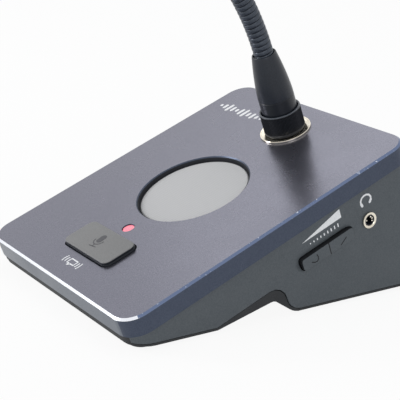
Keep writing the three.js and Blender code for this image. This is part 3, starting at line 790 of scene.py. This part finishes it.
arch = bmesh.new()
stroke(arch, [
    (38.3, -14.1), (37.95, -13.2), (38.1, -12.1), (38.9, -11.1), (40.1, -10.65), (41.4, -10.75),
    (42.5, -11.4), (43.05, -12.5), (42.9, -13.5), (42.1, -14.3),
], BAND_LINE, WALL_FACE)
for cushion in ([(38.35, -14.2), (38.1, -13.4)], [(42.1, -14.4), (42.75, -13.7)]):
    stroke(arch, cushion, CUSHION_LINE, WALL_FACE, PRINT * 1.5)
marked("headphone_print", arch, side)


# ---- Rear sockets: a barrel inlet for power and a round link socket ------------------------
# Both are black mouldings clipped into the rear wall, their faces just inside its
# surface.
dressed(satin_black, "power_inlet", "link_socket")


# ---- Neck socket: nickel flange, knurled lock ring, tapered boot ---------------------------
# The flange is bolted through the deck with a nut. The ring screws down on a washer
# and clamps the boot, in which the neck's ferrule is fixed.
KNURL_COLUMNS, GROOVE_SCALE = 180, 0.968
KNURL_START, KNURL_END, KNURL_INSIDE = 1.9, 9.6, 8.3
LIT_RIM_FROM, ROOT_TOP, TAPER_STEPS = 10.05, 15.85, 14
socket = deck @ Matrix.Translation((0, NECK_UP, 0))
seat = turned([
    (4.95, -10), (7.6, -10), (7.6, 0.03), (10.35, 0.03), (10.5, 0.12), (10.5, 0.6), (10.38, 0.75),
    (10.1, 0.75), (9.9, 0.66), (9.75, 0.6), (4.95, 0.6),
], 96, True)
fitted(piece("nickel_flange", seat, socket, nickel_plate), "base", "nickel", "socket_flange")
dressed(nickel_plate, "socket_nut", "neck_ferrule")

washer = softened(turned([(7.6, 0.75), (8.1, 0.75), (8.1, 1.25), (7.6, 1.25)], 64, True), 0.06)
fitted(
    piece("ring_washer", washer, socket, satin_black),
    "lock_washer", "black_plastic", "lock_washer",
)

ring_black = moulding("ring_black", tone(22, 25, 30), tone(31, 34, 40), 0.32, 0.7, 0.01)
# A lighter copy for the ring's top edge: painted highlight.
lit_ring_rim = moulding("lit_ring_rim", tone(74, 79, 87), tone(92, 97, 105), 0.3, 0.7, 0.01)
knurled = turned([
    (7.6, 1.45), (7.75, 1.3), (8.3, 1.3), (8.45, 1.45), (8.45, 1.8), (8.4, 2.0), (8.4, 9.5),
    (8.45, 9.7), (8.45, 10.0), (8.3, 10.22), (8.1, 10.3), (7.85, 10.3), (7.6, 10.1),
], KNURL_COLUMNS, True)
for v in knurled.verts:
    column = round(math.atan2(v.co.y, v.co.x) / (2 * math.pi) * KNURL_COLUMNS)
    outside = v.co.xy.length > KNURL_INSIDE and KNURL_START < v.co.z < KNURL_END
    if outside and column % 2:
        v.co.xy = v.co.xy * GROOVE_SCALE
# Faces above the rim height take the lighter copy, which is a painted highlight.
for face in knurled.faces:
    face.material_index = 1 if face.calc_center_median().z > LIT_RIM_FROM else 0
fitted(
    piece("knurled_ring", knurled, socket, ring_black, lit_ring_rim, crease=25),
    "lock_ring", "black_plastic", "lock_ring",
)

boot_black = moulding("boot_black", tone(24, 30, 40), tone(33, 39, 49), 0.3, 0.6, 0.005)
boot_root = moulding("boot_root", tone(18, 23, 31), tone(26, 31, 39), 0.28, 0.5, 0.005)
slope = [i / TAPER_STEPS for i in range(TAPER_STEPS + 1)]
boot = turned([
    (4.95, 1.3), (7.1, 1.3), (7.25, 1.45), (7.25, 15.65), (7.15, 15.75), (7.15, 15.9),
    *((7.25 - 2.3 * part ** 1.6, 16.05 + part * 18.4) for part in slope),
    (4.88, 34.7), (4.74, 34.86), (4.6, 34.9), (4.45, 34.86), (4.36, 34.72), (4.35, 34.4),
    (4.35, 21), (4.95, 21),
], 72, True)
for face in boot.faces:
    face.material_index = 1 if face.calc_center_median().z < ROOT_TOP else 0
fitted(
    piece("tapered_boot", boot, socket, boot_black, boot_root),
    "neck_base", "black_rubber", "neck_boot",
)


# ---- Gooseneck: a steel spiral with a round wire wound between its turns --------------------
# It bends anywhere and stays put. Each length is wound upright, trimmed, and bent
# along the resting curve.
PITCH, ROUND, SHADE_RADIUS = 2.1, 28, 3.7
BOOT_MOUTH, NECK_LENGTH = 35.5, 200
IN_BOOT, JOINTS, JOINT_SPACING = 11.5, 8, 25
LOW_LENGTH, LOW_RADIUS, HIGH_RADIUS = 28, 110, 480
neck_black, nodes, wire, shader = new_finish("neck_black")
shader.inputs["Metallic"].default_value = 0.5
shader.inputs["Specular IOR Level"].default_value = 0.6
oxide = grain(nodes, wire, 0.8, 3)
shades(nodes, wire, oxide, tone(52, 59, 69), tone(68, 75, 86), shader.inputs["Base Color"])
between(nodes, wire, grain(nodes, wire, 5, 3), 0.3, 0.4, shader.inputs["Roughness"])
relief(nodes, wire, oxide, 0.008, shader, 0.5)
# Near-black for the valleys between the turns: painted shade.
groove_shade = moulding("groove_shade", tone(12, 14, 18), tone(20, 22, 27), 0.6, 0.6, 0.01)


def wound(start, end):
    """The spiral, upright, trimmed at heights start and end and closed there."""
    first = math.floor(start / PITCH) * PITCH - PITCH
    turns = math.ceil((end - first) / PITCH) + 1
    # The outside over one turn, as (radius, height): the round wire, then the spiral.
    wave = [
        (3.5, 0), (3.78, 0.08), (3.94, 0.3), (4.0, 0.7), (4.0, 1.4), (3.94, 1.8), (3.78, 2.02),
        (3.5, PITCH),
    ]
    bm = bmesh.new()
    verts = [bm.verts.new((r, 0, z + first)) for r, z in wave]
    edges = [bm.edges.new(pair) for pair in zip(verts, verts[1:])]
    bmesh.ops.spin(
        bm, geom=verts + edges, cent=(0, 0, 0), axis=(0, 0, 1), dvec=(0, 0, PITCH / ROUND),
        angle=2 * math.pi * turns, steps=ROUND * turns, use_merge=False,
    )
    bmesh.ops.remove_doubles(bm, verts=bm.verts, dist=0.002)
    bmesh.ops.recalc_face_normals(bm, faces=bm.faces)
    if sum(f.normal.xy.dot(f.calc_center_median().xy) for f in bm.faces) < 0:
        bmesh.ops.reverse_faces(bm, faces=bm.faces)
    # Faces in the valleys between the turns take the near-black, which is painted shade.
    for face in bm.faces:
        face.material_index = 1 if face.calc_center_median().xy.length < SHADE_RADIUS else 0
    for height, clear in ((start, {"clear_inner": True}), (end, {"clear_outer": True})):
        bmesh.ops.bisect_plane(
            bm, geom=bm.verts[:] + bm.edges[:] + bm.faces[:],
            plane_co=(0, 0, height), plane_no=(0, 0, 1), dist=0.0001, **clear,
        )
    bmesh.ops.holes_fill(bm, edges=[e for e in bm.edges if e.is_boundary], sides=0)
    return bm


def resting(along):
    """The frame of the neck's centre line, along millimetres from the boot's mouth."""
    if along <= 0:
        return Matrix.Translation((0, 0, BOOT_MOUTH + along))
    lean = min(along, LOW_LENGTH) / LOW_RADIUS
    forward, up = LOW_RADIUS * (1 - math.cos(lean)), LOW_RADIUS * math.sin(lean)
    end = lean + max(along - LOW_LENGTH, 0) / HIGH_RADIUS
    forward += HIGH_RADIUS * (math.cos(lean) - math.cos(end))
    up += HIGH_RADIUS * (math.sin(end) - math.sin(lean))
    return Matrix.Translation((0, -forward, BOOT_MOUTH + up)) @ Matrix.Rotation(end, 4, "X")


cuts = [-IN_BOOT] + [JOINT_SPACING * (i + 0.5) for i in range(JOINTS)] + [NECK_LENGTH]
for count, (start, end) in enumerate(zip(cuts, cuts[1:]), 1):
    length = wound(start, end)
    for v in length.verts:
        v.co = resting(v.co.z) @ Vector((v.co.x, v.co.y, 0))
    made = piece(f"neck_length_{count}", length, socket, neck_black, groove_shade, crease=60)
    if count <= JOINTS:
        socket @ resting(max(start, -0.5)).translation
        socket @ resting(end).translation
        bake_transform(made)
        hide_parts(f"neck_section_{count}")
    else:
        fitted(made, "neck_8", "neck_metal")


# ---- Microphone head: collar, capsule housing, wire grille, foam windscreen ----------------
# A small condenser capsule in a turned housing screwed to the neck. The open-cell
# foam slips over the grille and grips the housing.
FOAM_RADIUS, BASE_RADIUS, CURVE_STEPS = 15, 10.5, 18
BELLY_HEIGHT, BELLY_DEPTH, CROWN_HEIGHT, CROWN_RISE = 31, 13.6, 41, 17.4
SWELLS = ((0.14, 0.9), (0.09, 2.3))
head = socket @ resting(NECK_LENGTH)
collar = turned([
    (0, 0.3), (4.7, 0.3), (4.9, 0.5), (5.05, 1.4), (5.3, 2.2), (6.1, 5.8), (6.6, 8.6), (6.6, 9.6),
    (6.45, 9.75), (6.45, 10.05), (6.6, 10.2), (6.6, 11.85), (6.45, 12), (0, 12),
])
fitted(piece("neck_collar", collar, head, satin_black), "neck_8", "black_plastic", "head_collar")
barrel = turned([
    (5.5, 14.3), (0, 14.3), (0, 12.3), (6.45, 12.3), (6.6, 12.45), (6.6, 33.85), (6.45, 34),
    (5.5, 34),
])
bmesh.ops.bridge_loops(barrel, edges=[e for e in barrel.edges if e.is_boundary])
bmesh.ops.recalc_face_normals(barrel, faces=barrel.faces)
fitted(piece("capsule_barrel", barrel, head, neck_black), "neck_8", "neck_metal", "capsule_housing")
dressed(zinc_steel, "mic_capsule", "head_grille")

open_foam, nodes, wire, shader = new_finish("open_foam")
place = nodes.new("ShaderNodeTexCoord")
cells = nodes.new("ShaderNodeTexVoronoi")
cells.feature = "SMOOTH_F1"
cells.inputs["Scale"].default_value = 1100
cells.inputs["Smoothness"].default_value = 0.5
wire(place.outputs["Object"], cells.inputs["Vector"])
shades(
    nodes, wire, cells.outputs["Distance"], tone(14, 14, 16), tone(52, 53, 56),
    shader.inputs["Base Color"], 0.05, 0.6,
)
between(nodes, wire, grain(nodes, wire, 2, 2), 0.88, 1, shader.inputs["Roughness"])
shader.inputs["Specular IOR Level"].default_value = 0.15
shader.inputs["Sheen Weight"].default_value = 0.3
relief(nodes, wire, cells.outputs["Distance"], 0.35, shader, 0.9)

curve = [math.radians(90 * i / CURVE_STEPS) for i in range(CURVE_STEPS + 1)]
spread = FOAM_RADIUS - BASE_RADIUS
outside = [
    (BASE_RADIUS + spread * math.sin(a), BELLY_HEIGHT - BELLY_DEPTH * math.cos(a)) for a in curve
]
outside += [(FOAM_RADIUS, height) for height in range(BELLY_HEIGHT + 1, CROWN_HEIGHT)]
outside += [(FOAM_RADIUS * math.cos(a), CROWN_HEIGHT + CROWN_RISE * math.sin(a)) for a in curve]
foam = turned([(0, 47.2), (7, 47.2), (7, 17.4), (7.4, 17.05), (9.6, 17.0), *outside], 150)
foam.normal_update()

# The foam's skin is a little uneven: each swell has a depth and a closeness. The
# bore that grips the housing is left round.
moves = {
    v: sum((v.normal * deep * noise.noise(v.co * close) for deep, close in SWELLS), Vector())
    for v in foam.verts if v.co.xy.length > 7.6 or v.co.z > 50
}
for v, move in moves.items():
    v.co += move
windscreen = fitted(
    piece("foam_windscreen", foam, head, open_foam, crease=80), "neck_8", "foam", "windscreen",
)
